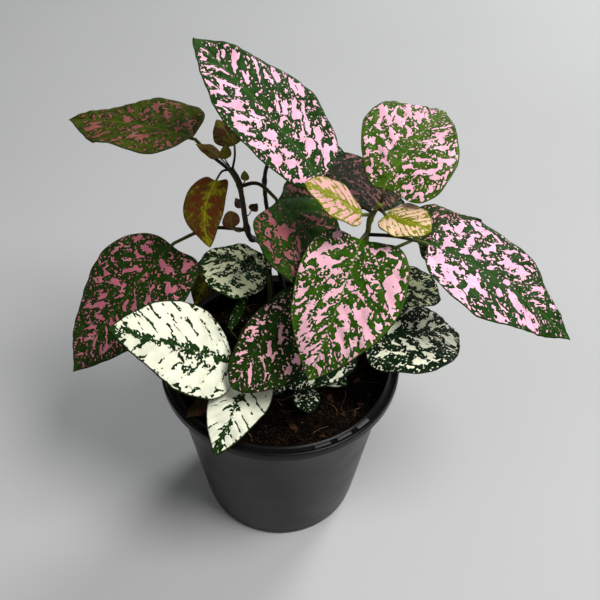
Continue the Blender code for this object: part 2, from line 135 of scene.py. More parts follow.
# ---- leaves
# base, tip: ends of the midrib.  width: the full width if both sides were alike; sides
# scales the left and right half as seen from the base with the upper face up.
# arch: rise of the midrib's middle.  bow: its sideways bend, to the right.
# roll: turn about the midrib, right side down.
# lobe: how far the blade reaches back past the base.  blunt and taper: how full the
# outline is at the base and how sharp at the tip.  These three are pairs, left and right,
# where the sides differ.
# stalk: points from the stem's axis to the base, the base itself left out.
# look: one of the looks below.  changes: what differs from it on this leaf.
LEAVES = {
    "leaf_rose_far_left": dict(look="rose", base=(-43, 36, 225), tip=(-110, 64, 215), width=46,
        arch=3, lobe=1.5, blunt=(0.6, 0.45), taper=(1.0, 1.1), sides=(0.98, 1.14),
        stalk=[(-20, 18, 210), (-25, 25, 214), (-34, 30, 219)],
        changes=dict(splash=(0.53, 0.29, 0.27), deep=(0.14, 0.19, 0.0), mid=(0.22, 0.28, 0.01),
        cover=-0.085)),
    "leaf_pink_top": dict(look="pink", base=(19, 21, 213), tip=(-39, 37, 275), width=48, arch=3,
        roll=-10, lobe=4, blunt=(0.75, 0.45), taper=(0.8, 1.0), sides=(1.05, 1.3),
        stalk=[(44, 13, 200), (35, 18, 203)], changes=dict(cell=(3.0, 6.8), speck=0.8, rib=0.19)),
    "leaf_pink_round": dict(look="pink", base=(48, 17, 212), tip=(82, 68, 222), width=46, arch=6,
        lobe=4, blunt=(0.8, 0.38), taper=(0.5, 1.0), sides=(1.35, 1.15),
        stalk=[(47, 12, 207), (48, 14, 210)], changes=dict(splash=(0.93, 0.69, 0.775),
        deep=(0.16, 0.30, 0.0), mid=(0.25, 0.37, 0.05), rim=(0.38, 0.46, 0.10), cover=-0.020)),
    "leaf_pink_front": dict(look="pink", base=(38, -1, 195), tip=(15, -56, 157), width=54, arch=5,
        bow=-1.5, lobe=6, blunt=0.42, taper=0.85, sides=(1.08, 0.9),
        stalk=[(42, 17, 182), (41, 9, 190)], changes=dict(splash=(0.95, 0.715, 0.785),
        deep=(0.12, 0.27, 0.0), mid=(0.20, 0.35, 0.04), rim=(0.32, 0.42, 0.10), cover=-0.030,
        rib=0.08)),
    "leaf_pink_right": dict(look="pink", base=(71, 3, 190), tip=(141, -25, 155), width=50, arch=6,
        lobe=2, blunt=(0.45, 0.6), taper=(1.0, 1.1), sides=(1.28, 1.15),
        stalk=[(42, 16, 184), (56, 9, 189)], changes=dict(splash=(0.95, 0.69, 0.80), cover=-0.030,
        cell=(2.9, 6.4), speck=0.8)),
    # this leaf's darker splash and greens are painted shade; it lies behind leaf_pink_right
    "leaf_pink_right_back": dict(look="rose", base=(68, 24, 175), tip=(104, 40, 174), width=42,
        arch=3, lobe=5, blunt=0.42, taper=1.0, stalk=[(39, 18, 165), (54, 20, 170)],
        changes=dict(splash=(0.84, 0.56, 0.62), cover=-0.10, cell=(2.2, 4.2),
        deep=(0.11, 0.17, 0.04))),
    "leaf_rose_centre": dict(look="rose", base=(-2, 21, 200), tip=(34, 4, 148), width=54, arch=5,
        lobe=6, blunt=0.42, taper=1.0, sides=(0.85, 1.2), stalk=[(-20, 18, 210), (-11, 19, 211)],
        changes=dict(splash=(0.60, 0.325, 0.345), mid=(0.13, 0.27, 0.0), cover=-0.078,
        cell=(3.4, 7.0))),
    "leaf_rose_low": dict(look="rose", base=(10, 1, 158), tip=(-22, -41, 131), width=42, arch=4,
        lobe=3, blunt=0.5, taper=0.6, sides=(1.35, 0.58), stalk=[(33, 17, 147), (22, 10, 154)],
        changes=dict(splash=(0.98, 0.71, 0.77), cover=-0.09, cell=(3.4, 6.6))),
    "leaf_rose_left": dict(look="rose", base=(-57, 22, 169), tip=(-110, -15, 110), width=50,
        arch=4, roll=-14, lobe=(8, 0), blunt=(0.42, 0.5), taper=1.0, sides=(1.15, 1.12),
        stalk=[(-17, 15, 186), (-36, 15, 186)], changes=dict(cover=-0.06)),
    "leaf_white_left": dict(look="white", base=(-24, -21, 128), tip=(-78, -39, 170), width=46,
        arch=2, roll=-25, lobe=2, blunt=(0.42, 0.65), taper=0.95, sides=(1.05, 1.08),
        stalk=[(-10, -2, 120), (-17, -10, 123)]),
    "leaf_white_rim": dict(look="white", base=(-13, -18, 119), tip=(-29, -69, 114), width=32,
        arch=3, lobe=2, blunt=0.5, taper=0.9, stalk=[(-8, -1, 113), (-10, -9, 118)],
        changes=dict(cover=0.21, rib=0.40, vein=0.44, big=0.6)),
    # the duller splash on this leaf is painted shade
    "leaf_white_shaded": dict(look="white", base=(-7, 22, 150), tip=(-42, 30, 154), width=36,
        arch=4, lobe=2, blunt=0.5, taper=0.6, sides=(1.5, 0.75),
        stalk=[(-10, -2, 121), (-6, 10, 142)], changes=dict(splash=(0.86, 0.88, 0.72), cover=0.01,
        speck=1.9, vein=0.12, big=1.2, cell=(2.6, 4.8))),
    "leaf_white_sliver": dict(look="white", base=(-26, -5, 135), tip=(-15, 17, 148), width=6,
        arch=1, taper=1.0, stalk=[(-10, -1, 119), (-20, -6, 127)],
        changes=dict(splash=(0.76, 0.78, 0.60), cover=0.1)),
    "leaf_olive_back": dict(look="red", base=(-36, 46, 143), tip=(-47, 18, 129), width=18, arch=1,
        taper=0.8, stalk=[(-10, 34, 144), (-24, 44, 147)], changes=dict(splash=(0.28, 0.30, 0.07),
        deep=(0.18, 0.19, 0.04))),
    "leaf_white_right_back": dict(look="dark_white", base=(57, 33, 130), tip=(87, 23, 133),
        width=36, arch=4, lobe=2, taper=0.7, stalk=[(34, -2, 121), (46, 20, 126)],
        changes=dict(splash=(0.80, 0.83, 0.64), cover=-0.015, cell=(2.4, 4.4))),
    "leaf_white_right": dict(look="dark_white", base=(43, -19, 140), tip=(92, -8, 139), width=40,
        arch=6, lobe=3, blunt=0.5, taper=0.6, sides=(0.95, 1.35),
        stalk=[(35, -2, 124), (38, -12, 134)]),
    "leaf_white_under": dict(look="dark_white", base=(40, -8, 120), tip=(3, -26, 115), width=24,
        arch=2, taper=0.7, stalk=[(34, -2, 118), (38, -6, 120)], changes=dict(cover=-0.09)),
    "leaf_white_low": dict(look="white", base=(22, -14, 113), tip=(36, -22, 113), width=16, arch=1,
        taper=0.9, stalk=[(24, -6, 104.5), (21, -11, 110)], changes=dict(cover=0.12,
        cell=(2.4, 4.0))),
    "leaf_seedling": dict(look="dark_white", base=(13, -18, 106), tip=(16, -37, 108), width=15,
        arch=1, taper=0.6, stalk=[(12, -8, 104), (12, -13, 105.5)], changes=dict(cover=-0.05,
        cell=(1.8, 2.8))),
    "leaf_seedling_small": dict(look="dark_white", base=(2, -17, 106), tip=(-4, -24, 105), width=8,
        arch=0.5, taper=0.8, stalk=[(6, -9, 104), (4, -13, 105.5)], changes=dict(cover=-0.02,
        cell=(1.4, 2.4))),
    "leaf_young_left": dict(look="young", base=(38, 5, 205), tip=(11, 4, 223), width=26, arch=1,
        roll=-6, lobe=1, blunt=(0.5, 0.6), taper=0.7, stalk=[(45, 13, 201), (42, 8, 203)]),
    "leaf_young_right": dict(look="young", base=(49, 5, 205), tip=(69, -7, 206), width=25, arch=1,
        lobe=2, taper=0.7, stalk=[(46, 13, 203), (48, 9, 204)], changes=dict(cover=0.09,
        splash=(0.86, 0.72, 0.60))),
    "leaf_red_hanging": dict(look="red", base=(-31, 18, 213), tip=(-34, 2, 185), width=20, arch=2,
        bow=3.5, lobe=3, taper=(0.85, 0.8), sides=(0.9, 1.1),
        stalk=[(-24, 20, 218), (-28, 20, 217)]),
    "leaf_red_crown": dict(look="red", base=(-22, 24, 229), tip=(-31, 34, 236), width=16, arch=1,
        stalk=[(-23, 20, 219), (-22, 22, 224)]),
    "leaf_red_small": dict(look="red", base=(-29, 21, 224), tip=(-40, 24, 229), width=9, arch=1,
        stalk=[(-24, 20, 219), (-27, 22, 221)], changes=dict(mid=(0.48, 0.40, 0.14),
        deep=(0.42, 0.32, 0.10))),
    "leaf_red_tiny": dict(look="red", base=(-26, 17, 226), tip=(-25, 14, 236), width=6,
        stalk=[(-24, 20, 219), (-25, 18, 223)]),
    "leaf_bud": dict(look="red", base=(-17, 16, 215), tip=(-17, 14, 222), width=4,
        stalk=[(-20, 18, 211), (-18, 16, 213)], changes=dict(splash=(0.44, 0.28, 0.10))),
    "leaf_red_round": dict(look="red", base=(-24, 11, 190), tip=(-25, 13, 199), width=9, arch=1,
        taper=0.6, stalk=[(-17, 15, 186), (-21, 12, 187)], changes=dict(splash=(0.34, 0.17, 0.12),
        deep=(0.26, 0.16, 0.09), mid=(0.30, 0.24, 0.09))),
    "leaf_red_pair_left": dict(look="red", base=(-20, 22, 194), tip=(-23, 26, 197), width=5,
        stalk=[(-18, 16, 193), (-19, 20, 193)], changes=dict(splash=(0.30, 0.15, 0.10),
        deep=(0.24, 0.14, 0.07), mid=(0.24, 0.17, 0.08))),
    "leaf_red_pair_right": dict(look="red", base=(-15, 20, 194), tip=(-12, 23, 196), width=6,
        stalk=[(-18, 16, 193), (-16, 18, 193)], changes=dict(splash=(0.30, 0.15, 0.10),
        deep=(0.24, 0.14, 0.07), mid=(0.24, 0.17, 0.08))),
    # this leaf's dull splash and dark greens are painted shade; it lies far back
    "leaf_dark_back": dict(look="rose", base=(18, 68, 186), tip=(67, 72, 160), width=48, arch=4,
        lobe=3, sides=(1.0, 1.15), stalk=[(-6, 52, 205), (6, 62, 203)],
        changes=dict(splash=(0.62, 0.38, 0.37), cover=-0.075, cell=(3.0, 6.4),
        deep=(0.07, 0.12, 0.02), mid=(0.12, 0.17, 0.04))),
    # the grey splash on this white leaf is painted shade
    "leaf_grey_back": dict(look="dark_white", base=(8, 66, 206), tip=(32, 53, 204), width=18,
        arch=1, stalk=[(-9, 51, 197), (-4, 60, 203)], changes=dict(splash=(0.52, 0.56, 0.42))),
    # the darkness of this leaf's splash and greens is painted shade
    "leaf_red_soil": dict(look="red", base=(-30, -30, 111), tip=(-46, -45, 112), width=13, arch=1,
        stalk=[(-22, -20, 104), (-25, -25, 108)], changes=dict(splash=(0.36, 0.15, 0.14),
        deep=(0.14, 0.13, 0.05), mid=(0.17, 0.13, 0.06), cover=-0.03)),
}

# ---- looks of the leaves
# splash: the pale colour, deep: the green beside it, mid: the green far from a splash,
# rim: the margin's colour.  cover: share of splash, above 0 for more than half.
# cell: size of a splash across and along the side veins, in mm.  speck: strength of the
# fine specks.  rib and vein: how strongly the midrib and the side veins stay green.
# reach: how far from the midrib, in mm, the green goes.  big: weight of the splashes.
LOOKS = {
    "pink": dict(
        splash=(0.94, 0.69, 0.79), deep=(0.06, 0.19, 0.01), mid=(0.12, 0.26, 0.04),
        rim=(0.18, 0.29, 0.05), cover=-0.020, cell=(2.5, 5.6), speck=1.0, rib=0.15, vein=0.04,
        reach=7.0),
    "rose": dict(
        splash=(0.74, 0.40, 0.47), deep=(0.08, 0.17, 0.01), mid=(0.12, 0.23, 0.03),
        rim=(0.16, 0.24, 0.07), cover=-0.075, cell=(2.6, 6.0), speck=0.9, rib=0.10, vein=0.03),
    "white": dict(
        splash=(0.92, 0.93, 0.84), deep=(0.04, 0.14, 0.01), mid=(0.08, 0.20, 0.03),
        rim=(0.16, 0.26, 0.07), cover=0.150, cell=(3.4, 6.0), speck=1.25, rib=0.42, vein=0.32,
        big=0.95),
    "dark_white": dict(
        splash=(0.97, 0.99, 0.88), deep=(0.03, 0.10, 0.03), mid=(0.06, 0.16, 0.06),
        rim=(0.11, 0.20, 0.08), cover=-0.052, cell=(3.2, 7.0), speck=1.1, rib=0.16, vein=0.05),
    "young": dict(
        splash=(0.80, 0.60, 0.58), deep=(0.48, 0.49, 0.06), mid=(0.43, 0.45, 0.03),
        rim=(0.48, 0.53, 0.08), cover=0.075, cell=(1.5, 2.6), speck=1.1, rib=0.30, vein=0.36,
        big=0.8),
    "red": dict(
        splash=(0.35, 0.16, 0.03), deep=(0.29, 0.24, 0.02), mid=(0.48, 0.44, 0.07),
        rim=(0.28, 0.18, 0.06), cover=0.02, cell=(2.2, 4.0), speck=0.8, rib=0.22, vein=0.14),
}

# ---- the splash pattern: noise pitches per mm, across and along the side veins
WANDER_PITCH, WANDER_REACH = (0.26, 0.20, 1.0), (1.1, 1.1, 0.0)
FINE_PITCH = (0.72, 0.52, 1.0)
BREAK_PITCH = (0.20, 0.17, 1.0)  # where a green vein is broken
SWAY_PITCH, SWAY_REACH = (0.22, 0.30, 1.0), 0.35
DOT_PITCH, DOT_LEVELS = (1.15, 0.9, 1.0), (0.63, 0.73)
TONE_PITCH = (0.12, 0.12, 1.0)
NET_PITCH = (0.55, 0.42, 1.0)  # the fine net of veins
GRAIN_PITCH = (3.0, 3.0, 1.0)
FINE_WEIGHT, FINE_EDGE_WEIGHT, DOT_WEIGHT = 0.19, 0.30, 0.24
RIGHT_SIDE_SEED = 13.7  # sets the two sides of a leaf apart
LEAF_GLOSS = 0.07


# ---- shader graphs
def linear(colour):
    """An sRGB colour as the linear RGBA that a shader takes."""
    values = [c / 12.92 if c <= 0.04045 else ((c + 0.055) / 1.055) ** 2.4 for c in colour]
    return (*values, 1.0)


def scaled(colour, factor, shift=0.0):
    return tuple(factor * c + shift for c in colour)


class Graph:
    """A short way to write a material's nodes."""

    def __init__(self, name):
        self.material = bpy.data.materials.new(name)
        self.material.use_nodes = True
        self.tree = self.material.node_tree
        self.shader = self.tree.nodes["Principled BSDF"]

    def put(self, socket, value):
        if isinstance(value, bpy.types.NodeSocket):
            self.tree.links.new(value, socket)
        elif value is not None:
            socket.default_value = value

    def node(self, kind, *values, **settings):
        """A node with its first inputs filled in order; None leaves one as it is."""
        made = self.tree.nodes.new("ShaderNode" + kind)
        for key, value in settings.items():
            setattr(made, key, value)
        for socket, value in zip(made.inputs, values):
            self.put(socket, value)
        return made

    def math(self, operation, *values, clamp=False):
        return self.node("Math", *values, operation=operation, use_clamp=clamp).outputs[0]

    def add(self, first, *others):
        for other in others:
            first = self.math("ADD", first, other)
        return first

    def times(self, first, second):
        return self.math("MULTIPLY", first, second)

    def centred(self, value):
        """A noise value moved to lie round 0."""
        return self.math("SUBTRACT", value, 0.5)

    def vector(self, operation, *values):
        return self.node("VectorMath", *values, operation=operation).outputs[0]

    def noise(self, place, pitch, detail=2.0, rough=0.5, colour=False):
        """Noise at a pitch in waves per mm: one number, or one for each axis."""
        if isinstance(pitch, tuple):
            place, pitch = self.vector("MULTIPLY", place, pitch), 1.0
        made = self.node("TexNoise", place, None, pitch, detail, rough)
        return made.outputs[1 if colour else 0]

    def step(self, value, low, high, first=0.0, last=1.0):
        made = self.node("MapRange", value, low, high, first, last,
                         interpolation_type="SMOOTHSTEP")
        return made.outputs[0]

    def mix(self, share, first, second):
        made = self.tree.nodes.new("ShaderNodeMix")
        made.data_type = "RGBA"
        self.put(made.inputs[0], share)
        self.put(made.inputs[6], first)
        self.put(made.inputs[7], second)
        return made.outputs[2]

    def ramp(self, value, stops):
        made = self.node("ValToRGB", value)
        elements = made.color_ramp.elements
        while len(elements) < len(stops):
            elements.new(0.5)
        for element, (place, colour) in zip(elements, stops):
            element.position = place
            element.color = linear(colour)
        return made.outputs[0]

    def attribute(self, name):
        made = self.tree.nodes.new("ShaderNodeAttribute")
        made.attribute_name = name
        return made.outputs["Vector"]

    def split(self, vector):
        return self.node("SeparateXYZ", vector).outputs

    def object_place(self):
        """The place on the object, in millimetres."""
        found = self.node("TexCoord").outputs["Object"]
        return self.vector("MULTIPLY", found, (1.0 / MM,) * 3)

    def finish(self, colour, roughness, gloss, bump=None, depth=0.1):
        """gloss is the specular level; bump is a height in the unit of depth, mm."""
        self.put(self.shader.inputs["Base Color"], colour)
        self.put(self.shader.inputs["Roughness"], roughness)
        self.put(self.shader.inputs["Specular IOR Level"], gloss)
        if bump is not None:
            made = self.tree.nodes.new("ShaderNodeBump")
            made.inputs["Distance"].default_value = depth * MM
            self.put(made.inputs["Height"], bump)
            self.put(self.shader.inputs["Normal"], made.outputs[0])
        return self.material


def leaf_material(name, splash, deep, mid, rim, cover, cell, speck, rib, vein, big=1.0,
                  reach=4.2, under=False):
    """Splashes laid out along the side veins, with a crisp ragged edge."""
    g = Graph(name)
    place = g.attribute("splash")                   # across and along the side veins, seed
    margin, x, phase = g.split(g.attribute("blade"))
    off = g.math("ABSOLUTE", x)
    right = g.math("GREATER_THAN", x, 0.0)
    offset = g.node("CombineXYZ", 0.0, 0.0, g.times(right, RIGHT_SIDE_SEED)).outputs[0]
    place = g.vector("ADD", place, offset)

    # large splashes, stretched along the side veins and warped
    stretched = g.vector("MULTIPLY", place, (1.0 / cell[0], 1.0 / cell[1], 1.0))
    wander = g.noise(place, WANDER_PITCH, 1.0, colour=True)
    wander = g.vector("MULTIPLY", g.vector("SUBTRACT", wander, (0.5, 0.5, 0.5)), WANDER_REACH)
    stretched = g.vector("ADD", stretched, wander)
    blobs = g.times(g.centred(g.noise(stretched, 1.0, 1.8)), big)

    # ragged edges and specks, stronger by the margin
    fine = g.centred(g.noise(place, FINE_PITCH, 0.6))
    near = g.step(margin, 0.8, 5.0, 1.0, 0.0)
    blobs = g.times(blobs, g.math("SUBTRACT", 1.0, g.times(near, 0.5)))
    fine = g.times(fine, g.add(g.times(near, FINE_EDGE_WEIGHT * speck), FINE_WEIGHT * speck))
    dots = g.step(g.noise(place, DOT_PITCH, 0.0), *DOT_LEVELS)

    # the midrib and the side veins stay green, and so does a thin margin
    breaks = g.step(g.noise(place, BREAK_PITCH, 1.5), 0.40, 0.60)
    sway = g.centred(g.noise(place, SWAY_PITCH, 1.0))
    phase = g.add(phase, g.times(sway, SWAY_REACH))
    line = g.math("ABSOLUTE", g.centred(g.math("FRACT", g.add(phase, 0.5))))
    line = g.step(line, 0.0, 0.20, 1.0, 0.0)
    line = g.times(line, g.add(g.times(breaks, 0.9), 0.1))
    rib_line = g.step(off, 0.0, reach, 1.0, 0.0)
    rib_line = g.times(rib_line, g.add(g.times(breaks, 0.5), 0.5))
    green = g.add(g.times(line, vein), g.times(rib_line, rib),
                  g.step(margin, 0.15, 0.75, 0.5, 0.0), g.times(near, 0.05 * speck))
    field = g.math("SUBTRACT", g.add(blobs, fine, g.times(dots, DOT_WEIGHT * speck), cover), green)

    # ramp over the field: 0.12 is far from a splash, 0.5 is its edge
    pale = tuple(min(1.0, c) for c in scaled(splash, 1.03))
    edge = tuple(0.45 * c + 0.55 * k * max(splash) for c, k in zip(splash, (1.0, 0.93, 0.88)))
    colour = g.ramp(g.math("MULTIPLY_ADD", field, 2.0, 0.5, clamp=True), [
        (0.12, mid), (0.38, deep), (0.490, deep), (0.506, edge), (0.57, splash), (0.85, pale)])

    # the margin's rim with its dark outline, and a light line on the midrib
    colour = g.mix(g.step(margin, 0.3, 1.1, 0.8, 0.0), colour, linear(rim))
    colour = g.mix(g.step(margin, 0.2, 0.65, 0.85, 0.0), colour, linear(scaled(deep, 0.45)))
    colour = g.mix(g.step(off, 0.10, 0.55, 0.55, 0.0), colour, linear(scaled(mid, 1.25, 0.05)))
    shade = g.step(g.noise(place, TONE_PITCH, 3.0, 0.6), 0.3, 0.7, 0.86, 1.06)
    colour = g.node("HueSaturation", None, None, shade, None, colour).outputs[0]
    if under:
        colour = g.mix(0.55, colour, linear(scaled(mid, 0.6, 0.15)))

    # fine net of veins and the grain of the surface
    net = g.node("TexVoronoi", g.vector("MULTIPLY", place, NET_PITCH),
                 feature="DISTANCE_TO_EDGE").outputs["Distance"]
    net = g.step(net, 0.0, 0.16)
    grain = g.noise(place, GRAIN_PITCH)
    height = g.add(g.times(net, 0.5), g.times(grain, 0.35), g.times(line, -0.5))
    rough = g.add(g.times(grain, 0.16), g.times(net, 0.05), 0.36)
    return g.finish(colour, rough, LEAF_GLOSS, height, 0.16)


def stalk_material():
    """Dark stalks that turn green where the midrib begins."""
    g = Graph("stalk")
    green = g.split(g.attribute("splash"))[0]
    grain = g.noise(g.object_place(), (1.2, 1.2, 0.5), 3.0, 0.6)
    colour = g.ramp(g.add(green, g.times(g.centred(grain), 0.25)), [
        (0.0, (0.13, 0.09, 0.05)), (0.25, (0.15, 0.12, 0.05)), (0.42, (0.26, 0.30, 0.10)),
        (0.7, (0.36, 0.46, 0.18))])
    return g.finish(colour, g.add(g.times(grain, 0.25), 0.38), 0.14, grain, 0.15)


def stem_material():
    """Brown bark, lighter at the foot and the top; the fresh stem's top is green."""
    g = Graph("stem_bark")
    height, fresh, _ = g.split(g.attribute("splash"))
    grain = g.noise(g.object_place(), (1.6, 1.6, 0.35), 4.0, 0.65)
    blend = g.add(height, g.times(g.centred(grain), 0.35))
    colour = g.ramp(blend, [
        (0.0, (0.15, 0.11, 0.07)), (0.35, (0.08, 0.05, 0.035)), (0.75, (0.10, 0.07, 0.04)),
        (1.0, (0.20, 0.17, 0.08))])
    colour = g.mix(g.times(fresh, g.step(blend, 0.45, 0.75)), colour, linear((0.42, 0.45, 0.17)))
    return g.finish(colour, g.add(g.times(grain, 0.3), 0.34), 0.2, grain, 0.25)


def pot_material():
    """Black moulded plastic, faintly brushed round its axis and dusty in places."""
    g = Graph("black_plastic")
    place = g.object_place()
    haze = g.noise(place, (0.05, 0.05, 0.05), 4.0, 0.6)
    fleck = g.noise(place, (1.3, 1.3, 1.3), 2.0, 0.6)
    lines = g.noise(place, (0.04, 0.04, 2.2), 3.0, 0.6)
    dust = g.times(g.step(fleck, 0.62, 0.74), g.step(haze, 0.42, 0.65))
    colour = g.mix(g.times(haze, 0.7), linear((0.016, 0.015, 0.014)),
                   linear((0.048, 0.045, 0.042)))
    colour = g.mix(g.times(dust, 0.3), colour, linear((0.36, 0.33, 0.29)))
    rough = g.add(g.times(haze, 0.22), g.times(lines, 0.12), g.times(dust, 0.3), 0.16)
    height = g.add(g.times(lines, 0.6), g.times(fleck, 0.3))
    return g.finish(colour, rough, 0.18, height, 0.05)


def soil_material(name, dark, light, stretch=(1.0, 1.0, 1.0)):
    """Crumbly matter between two colours, with a few light specks."""
    g = Graph(name)
    place = g.vector("MULTIPLY", g.object_place(), stretch)
    crumbs = g.noise(place, 1.1, 4.0, 0.7)
    patches = g.noise(place, 0.16, 2.0, 0.5)
    blend = g.add(g.times(crumbs, 0.9), g.times(patches, 0.5), -0.28)
    colour = g.mix(g.step(blend, 0.34, 0.75), linear(dark), linear(light))
    spark = g.step(g.noise(place, 2.6, 0.0), 0.73, 0.77)
    colour = g.mix(g.times(spark, 0.5), colour, linear((0.45, 0.36, 0.26)))
    return g.finish(colour, g.add(g.times(crumbs, 0.3), 0.62), 0.02, crumbs, 0.5)


# ---- shapes
def smooth_path(points, count):
    """Catmull-Rom through the points; count places, the first and last point included."""
    points = np.array(points, float)
    padded = np.vstack([2 * points[0] - points[1], points, 2 * points[-1] - points[-2]])
    spans = len(points) - 1
    t = np.linspace(0.0, spans, count)
    whole = np.minimum(t.astype(int), spans - 1)
    t = (t - whole)[:, None]
    a, b, c, d = (padded[whole + k] for k in range(4))
    return 0.5 * (2 * b + (c - a) * t + (2 * a - 5 * b + 4 * c - d) * t ** 2
                  + (3 * b - a - 3 * c + d) * t ** 3)


def unit(vectors):
    return vectors / np.maximum(np.linalg.norm(vectors, axis=-1, keepdims=True), 1e-9)


def angles(count):
    return np.linspace(0.0, FULL_TURN, count, endpoint=False)


def both_sides(value):
    return value if isinstance(value, tuple) else (value, value)


def link(name, data):
    made = bpy.data.objects.new(name, data)
    bpy.context.scene.collection.objects.link(made)
    return made


def mesh_piece(name, vertices, faces, materials, indices=None, attributes=None):
    """A mesh object from places in millimetres, shaded smooth."""
    mesh = bpy.data.meshes.new(name)
    mesh.from_pydata((np.asarray(vertices) * MM).tolist(), [], faces)
    for material in materials:
        mesh.materials.append(material)
    if indices is not None:
        mesh.polygons.foreach_set("material_index", indices)
    for key, values in (attributes or {}).items():
        layer = mesh.attributes.new(key, "FLOAT_VECTOR", "POINT")
        layer.data.foreach_set("vector", np.asarray(values, np.float32).ravel())
    mesh.shade_smooth()
    mesh.update()
    return link(name, mesh)


def bmesh_piece(name, built, material=None):
    """An object from a bmesh in metres, which is used up."""
    mesh = bpy.data.meshes.new(name)
    built.to_mesh(mesh)
    built.free()
    if material:
        mesh.materials.append(material)
    return link(name, mesh)


def face_outward(made):
    built = bmesh.new()
    built.from_mesh(made.data)
    bmesh.ops.recalc_face_normals(built, faces=built.faces[:])
    built.to_mesh(made.data)
    built.free()


def tube(path, radii, sides, first_side):
    """Rings of a tube along a path, with a fixed side direction."""
    ahead = unit(np.gradient(path, axis=0))
    side = unit(first_side - ahead * (ahead @ first_side)[:, None])
    over = np.cross(side, ahead)
    angle = angles(sides)
    ring = (side[:, None, :] * np.cos(angle)[None, :, None]
            + over[:, None, :] * np.sin(angle)[None, :, None])
    return path[:, None, :] + ring * np.asarray(radii, float)[:, None, None]


def tube_faces(rings, sides, start=0):
    faces = []
    for ring in range(rings - 1):
        for number in range(sides):
            a = start + ring * sides + number
            b = start + ring * sides + (number + 1) % sides
            faces.append((a, a + sides, b + sides, b))
    faces.append(tuple(start + number for number in range(sides)))
    last = start + (rings - 1) * sides
    faces.append(tuple(last + number for number in reversed(range(sides))))
    return faces


def turned_faces(rings, segments):
    """Faces of a body turned about Z: an end point, rings, and the other end point."""
    faces = []
    last = 1 + (rings - 1) * segments
    for number in range(segments):
        after = (number + 1) % segments
        faces.append((0, 1 + number, 1 + after))
        faces.append((last + segments, last + after, last + number))
        for ring in range(rings - 1):
            a, b = 1 + ring * segments + number, 1 + ring * segments + after
            faces.append((a, a + segments, b + segments, b))
    return faces


def wavy(grid, seed, scale):
    """Smooth noise over a grid of places in the blade, about -1 to 1."""
    flat = grid.reshape(-1, 2)
    values = [noise.noise(Vector((a / scale, b / scale, seed))) for a, b in flat.tolist()]
    return 2.0 * np.array(values).reshape(grid.shape[:-1])


# ---- leaves
def half_width(share, blunt, taper):
    """Outline of one side of a blade, 0 at the base and tip and 1 at its widest."""
    peak = blunt / (blunt + taper)
    highest = peak ** blunt * (1.0 - peak) ** taper
    share = np.clip(share, 0.0, 1.0)
    return share ** blunt * (1.0 - share) ** taper / highest


class Blade:
    """The middle surface of one leaf blade, which follows the part's."""

    def __init__(self, base, tip, width, arch=0.0, bow=0.0, roll=0.0, lobe=0.0, blunt=0.5,
                 taper=1.0, sides=(1.0, 1.0)):
        self.base = np.array(base, float)
        chord = np.array(tip, float) - self.base
        self.length = float(np.linalg.norm(chord))
        self.along = chord / self.length
        up = unit(np.array([0.0, 0.0, 1.0]) - self.along * self.along[2])
        self.right = np.cross(self.along, up)
        turn = np.radians(roll)
        self.side = self.right * np.cos(turn) - up * np.sin(turn)
        self.bulge = ((up * np.cos(turn) + self.right * np.sin(turn)) * arch
                      + self.side * bow)
        self.width, self.lobe, self.sides = width, both_sides(lobe), sides
        self.blunt, self.taper = both_sides(blunt), both_sides(taper)

    def grid(self, rows, across):
        """Places, distance from the midrib, share of the length and half width."""
        row, across = np.meshgrid(rows, across, indexing="ij")
        sweep = SWEEP * row * (1.0 - row)
        reach = np.abs(across)
        edge = row + sweep
        left_half, right_half = (
            self.sides[k] * half_width(edge, self.blunt[k], self.taper[k]) for k in (0, 1))
        half = np.where(across > 0, right_half, left_half)
        half = np.maximum(half * self.width / 2, LEAST_HALF)
        early = edge / LOBE_PLACE * np.exp(1.0 - edge / LOBE_PLACE)
        back = np.where(across > 0, self.lobe[1], self.lobe[0]) / self.length
        share = row + sweep * reach ** SWEEP_POWER - back * early * reach ** LOBE_POWER
        rise = 4.0 * share * (1.0 - share)
        place = self.base + self.along * (self.length * share)[..., None]
        return place + self.bulge * rise[..., None], across * half, share, half


def vein_start(x, y, length, width):
    """The place along the midrib where the side vein through (x, y) leaves it."""
    out = np.abs(x) * (1.0 + VEIN_BEND * np.abs(x) / (0.5 * width))
    return (y - VEIN_LEAN * out) / (1.0 + VEIN_FAN * out / length)


def leaf_pitch(width):
    """Rows, columns to a side, and sides of the stalk, by the size of the leaf."""
    if width < SMALL_LEAF:
        return 20, 5, 6
    return (96, 17, 10) if width > LARGE_LEAF else (44, 8, 8)


def sheet_faces(rows, columns):
    """The upper sheet, the lower sheet and the strip round them, with their materials."""
    count = columns + 1
    block = (rows + 1) * count
    starts = [row * count + column for row in range(rows) for column in range(columns)]
    upper = [(a, a + count, a + count + 1, a + 1)[::-1] for a in starts]
    lower = [tuple(corner + block for corner in reversed(face)) for face in upper]
    border = [row * count for row in range(rows + 1)]
    border += [rows * count + column for column in range(1, count)]
    border += [row * count + columns for row in range(rows - 1, -1, -1)]
    border += list(range(columns - 1, 0, -1))
    strip = [(a, b, b + block, a + block)[::-1]
             for a, b in zip(border, border[1:] + border[:1])]
    return upper + lower + strip, [0] * len(upper) + [1] * len(lower) + [0] * len(strip)


def leaf_materials(name, look, changes):
    recipe = {**LOOKS[look], **(changes or {})}
    pale = dict(recipe, splash=scaled(recipe["splash"], 0.75, 0.1))
    return [leaf_material(name + "_top", **recipe),
            leaf_material(name + "_under", **pale, under=True), STALK]


